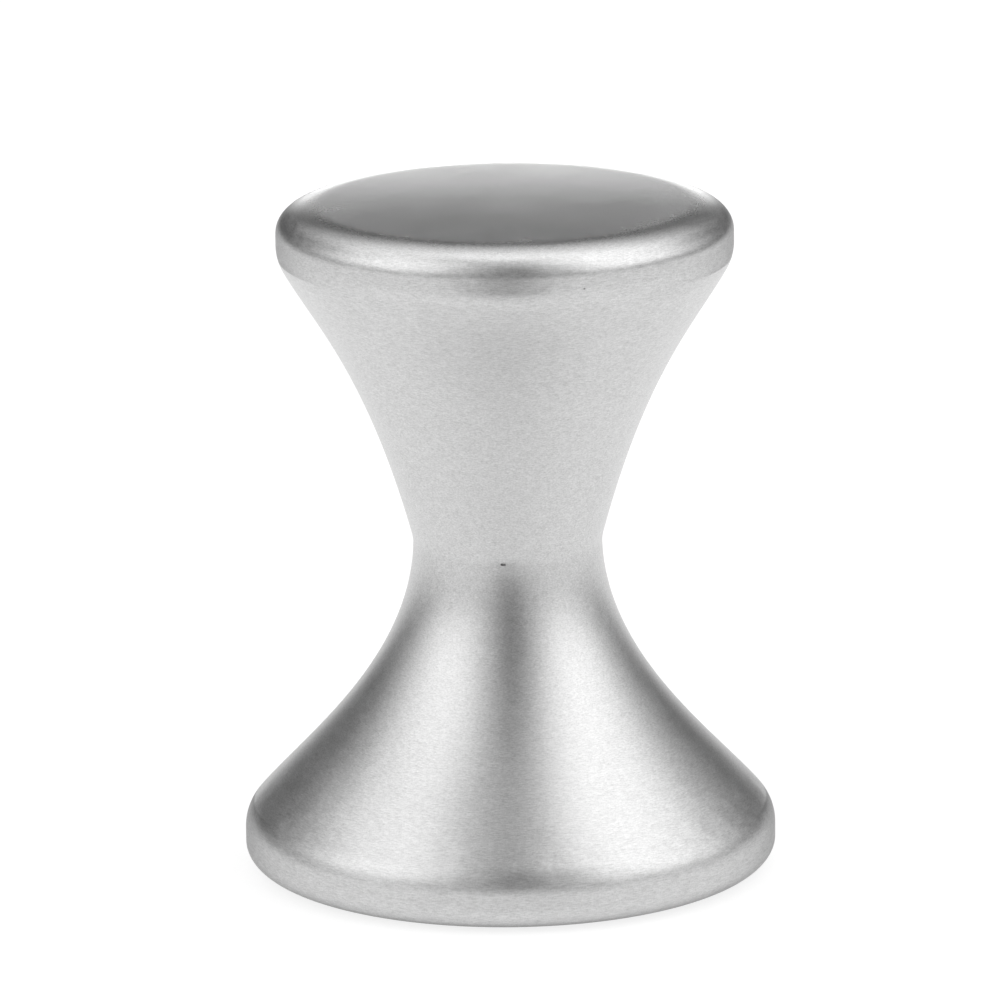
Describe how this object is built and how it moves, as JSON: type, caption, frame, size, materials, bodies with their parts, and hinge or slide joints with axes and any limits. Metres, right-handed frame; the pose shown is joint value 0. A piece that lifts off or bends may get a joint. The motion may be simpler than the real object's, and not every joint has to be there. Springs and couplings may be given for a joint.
{
  "type": "espresso tamper",
  "caption": "Hourglass-shaped double-ended coffee tamper in satin stainless steel, with a larger tamping face at one end and a smaller one at the other.",
  "frame": {"origin": "centre of the large tamping face, which the tamper stands on", "axes": "+Z along the axis of revolution, from the large face to the small face; X and Y are free, as the part is round"},
  "size_m": [0.0576, 0.0576, 0.0732],
  "materials": {
    "turned_steel": "satin, evenly brushed on the faces and polished softly over the rims",
    "spun_steel": "satin, with fine brushing round the axis",
    "dressed_weld": "ground and brushed flush with the pieces beside it, a little patchy"
  },
  "bodies": {
    "root": {"large_face_plate": "turned_steel", "large_rim_weld": "dressed_weld", "large_shell": "spun_steel", "small_face_plate": "turned_steel", "small_rim_weld": "dressed_weld", "small_shell": "spun_steel", "waist_weld": "dressed_weld"}
  },
  "joints": []
}
